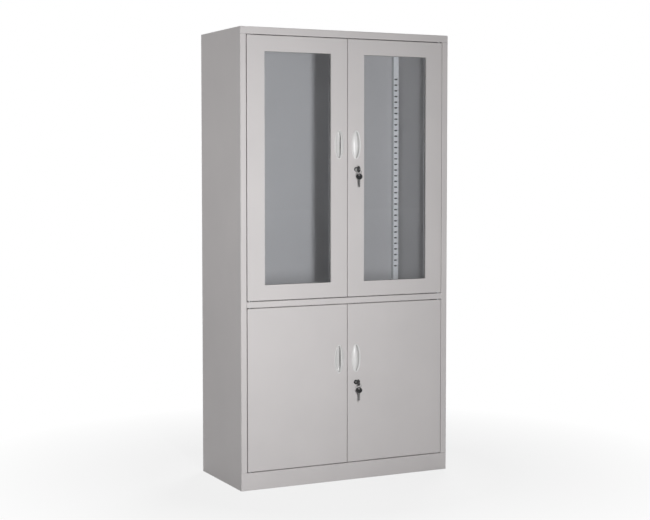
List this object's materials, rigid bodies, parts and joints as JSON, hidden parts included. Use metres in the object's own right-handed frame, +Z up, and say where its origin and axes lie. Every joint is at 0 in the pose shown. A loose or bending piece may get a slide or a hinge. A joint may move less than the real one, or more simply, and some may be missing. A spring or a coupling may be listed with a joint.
{
  "type": "glass door medical cabinet",
  "caption": "Free-standing folded steel clinic cabinet with glazed upper doors, steel lower doors, flush pulls and cam locks with keys.",
  "frame": {"origin": "on the floor, at the middle of the outline of the whole part seen from above, keys included", "axes": "+Z up, the front with the doors faces -Y, +X to the right as seen from the front"},
  "size_m": [0.9, 0.4382, 1.75],
  "materials": {
    "paint": "pale warm grey powder coat, fine texture, low gloss",
    "door_paint": "pale warm grey powder coat, fine texture, low gloss",
    "glass": "clear float glass with a slight green tint",
    "gasket": "matt black glazing rubber",
    "pull": "pale grey moulded plastic, satin",
    "lock": "dark nickel plated bezel",
    "steel": "bare steel plug",
    "zinc": "bright zinc plated steel",
    "key_bow": "black moulded bow on a steel blade",
    "ring": "nickel plated wire"
  },
  "bodies": {
    "carcass": {"left_side_panel": "paint", "right_side_panel": "paint", "back_panel": "paint", "top_panel": "paint", "middle_panel": "paint", "bottom_panel": "paint", "plinth": "paint", "upper_left_front_upright": "paint", "upper_right_front_upright": "paint", "upper_left_rear_upright": "paint", "upper_right_rear_upright": "paint", "lower_left_front_upright": "paint", "lower_right_front_upright": "paint", "lower_left_rear_upright": "paint", "lower_right_rear_upright": "paint", "lower_shelf": "paint", "lower_shelf_clip_left_front": "zinc", "lower_shelf_clip_right_front": "zinc", "lower_shelf_clip_left_rear": "zinc", "lower_shelf_clip_right_rear": "zinc"},
    "upper_left_door": {"upper_left_door_frame": "door_paint", "upper_left_door_retainer": "door_paint", "upper_left_door_glass": "glass", "upper_left_door_gasket": "gasket", "upper_left_door_pull": "pull", "upper_left_bottom_pivot": "zinc", "upper_left_top_pivot": "zinc"},
    "upper_right_door": {"upper_right_door_frame": "door_paint", "upper_right_door_retainer": "door_paint", "upper_right_door_glass": "glass", "upper_right_door_gasket": "gasket", "upper_right_door_pull": "pull", "upper_right_bottom_pivot": "zinc", "upper_right_top_pivot": "zinc", "upper_lock_barrel": "lock", "upper_lock_nut": "zinc"},
    "lower_left_door": {"lower_left_door_skin": "door_paint", "lower_left_door_inner_panel": "door_paint", "lower_left_door_pull": "pull", "lower_left_bottom_pivot": "zinc", "lower_left_top_pivot": "zinc"},
    "lower_right_door": {"lower_right_door_skin": "door_paint", "lower_right_door_inner_panel": "door_paint", "lower_right_door_pull": "pull", "lower_right_bottom_pivot": "zinc", "lower_right_top_pivot": "zinc", "lower_lock_barrel": "lock", "lower_lock_nut": "zinc"},
    "upper_left_bolt": {"upper_left_door_bolt": "zinc"},
    "lower_left_bolt": {"lower_left_door_bolt": "zinc"},
    "upper_lock": {"upper_lock_plug": "steel", "upper_lock_cam": "zinc", "upper_key": "key_bow"},
    "lower_lock": {"lower_lock_plug": "steel", "lower_lock_cam": "zinc", "lower_key": "key_bow"},
    "upper_spare": {"upper_key_ring": "ring", "upper_spare_key": "key_bow"},
    "lower_spare": {"lower_key_ring": "ring", "lower_spare_key": "key_bow"}
  },
  "joints": [
    {"name": "upper_left_door_hinge", "type": "hinge", "parent": "carcass", "child": "upper_left_door", "pos_m": [-0.411, -0.17385, 1.2205], "axis": [0, 0, -1], "range_deg": [0, 110]},
    {"name": "upper_right_door_hinge", "type": "hinge", "parent": "carcass", "child": "upper_right_door", "pos_m": [0.411, -0.17385, 1.2205], "axis": [0, 0, 1], "range_deg": [0, 110]},
    {"name": "lower_left_door_hinge", "type": "hinge", "parent": "carcass", "child": "lower_left_door", "pos_m": [-0.411, -0.17385, 0.381], "axis": [0, 0, -1], "range_deg": [0, 110]},
    {"name": "lower_right_door_hinge", "type": "hinge", "parent": "carcass", "child": "lower_right_door", "pos_m": [0.411, -0.17385, 0.381], "axis": [0, 0, 1], "range_deg": [0, 110]},
    {"name": "upper_left_bolt_slide", "type": "slide", "parent": "upper_left_door", "child": "upper_left_bolt", "axis": [0, 0, 1], "range_m": [0, 0.012]},
    {"name": "lower_left_bolt_slide", "type": "slide", "parent": "lower_left_door", "child": "lower_left_bolt", "axis": [0, 0, 1], "range_m": [0, 0.012]},
    {"name": "upper_lock_turn", "type": "hinge", "parent": "upper_right_door", "child": "upper_lock", "pos_m": [0.03675, -0.18085, 1.217], "axis": [0, 1, 0], "range_deg": [0, 90]},
    {"name": "lower_lock_turn", "type": "hinge", "parent": "lower_right_door", "child": "lower_lock", "pos_m": [0.03675, -0.18085, 0.384], "axis": [0, 1, 0], "range_deg": [0, 90]},
    {"name": "upper_spare_swing", "type": "hinge", "parent": "upper_lock", "child": "upper_spare", "pos_m": [0.03675, -0.20925, 1.21435], "axis": [-1, 0, 0], "range_deg": [-15, 75]},
    {"name": "lower_spare_swing", "type": "hinge", "parent": "lower_lock", "child": "lower_spare", "pos_m": [0.03675, -0.20925, 0.38135], "axis": [-1, 0, 0], "range_deg": [-15, 75]}
  ]
}
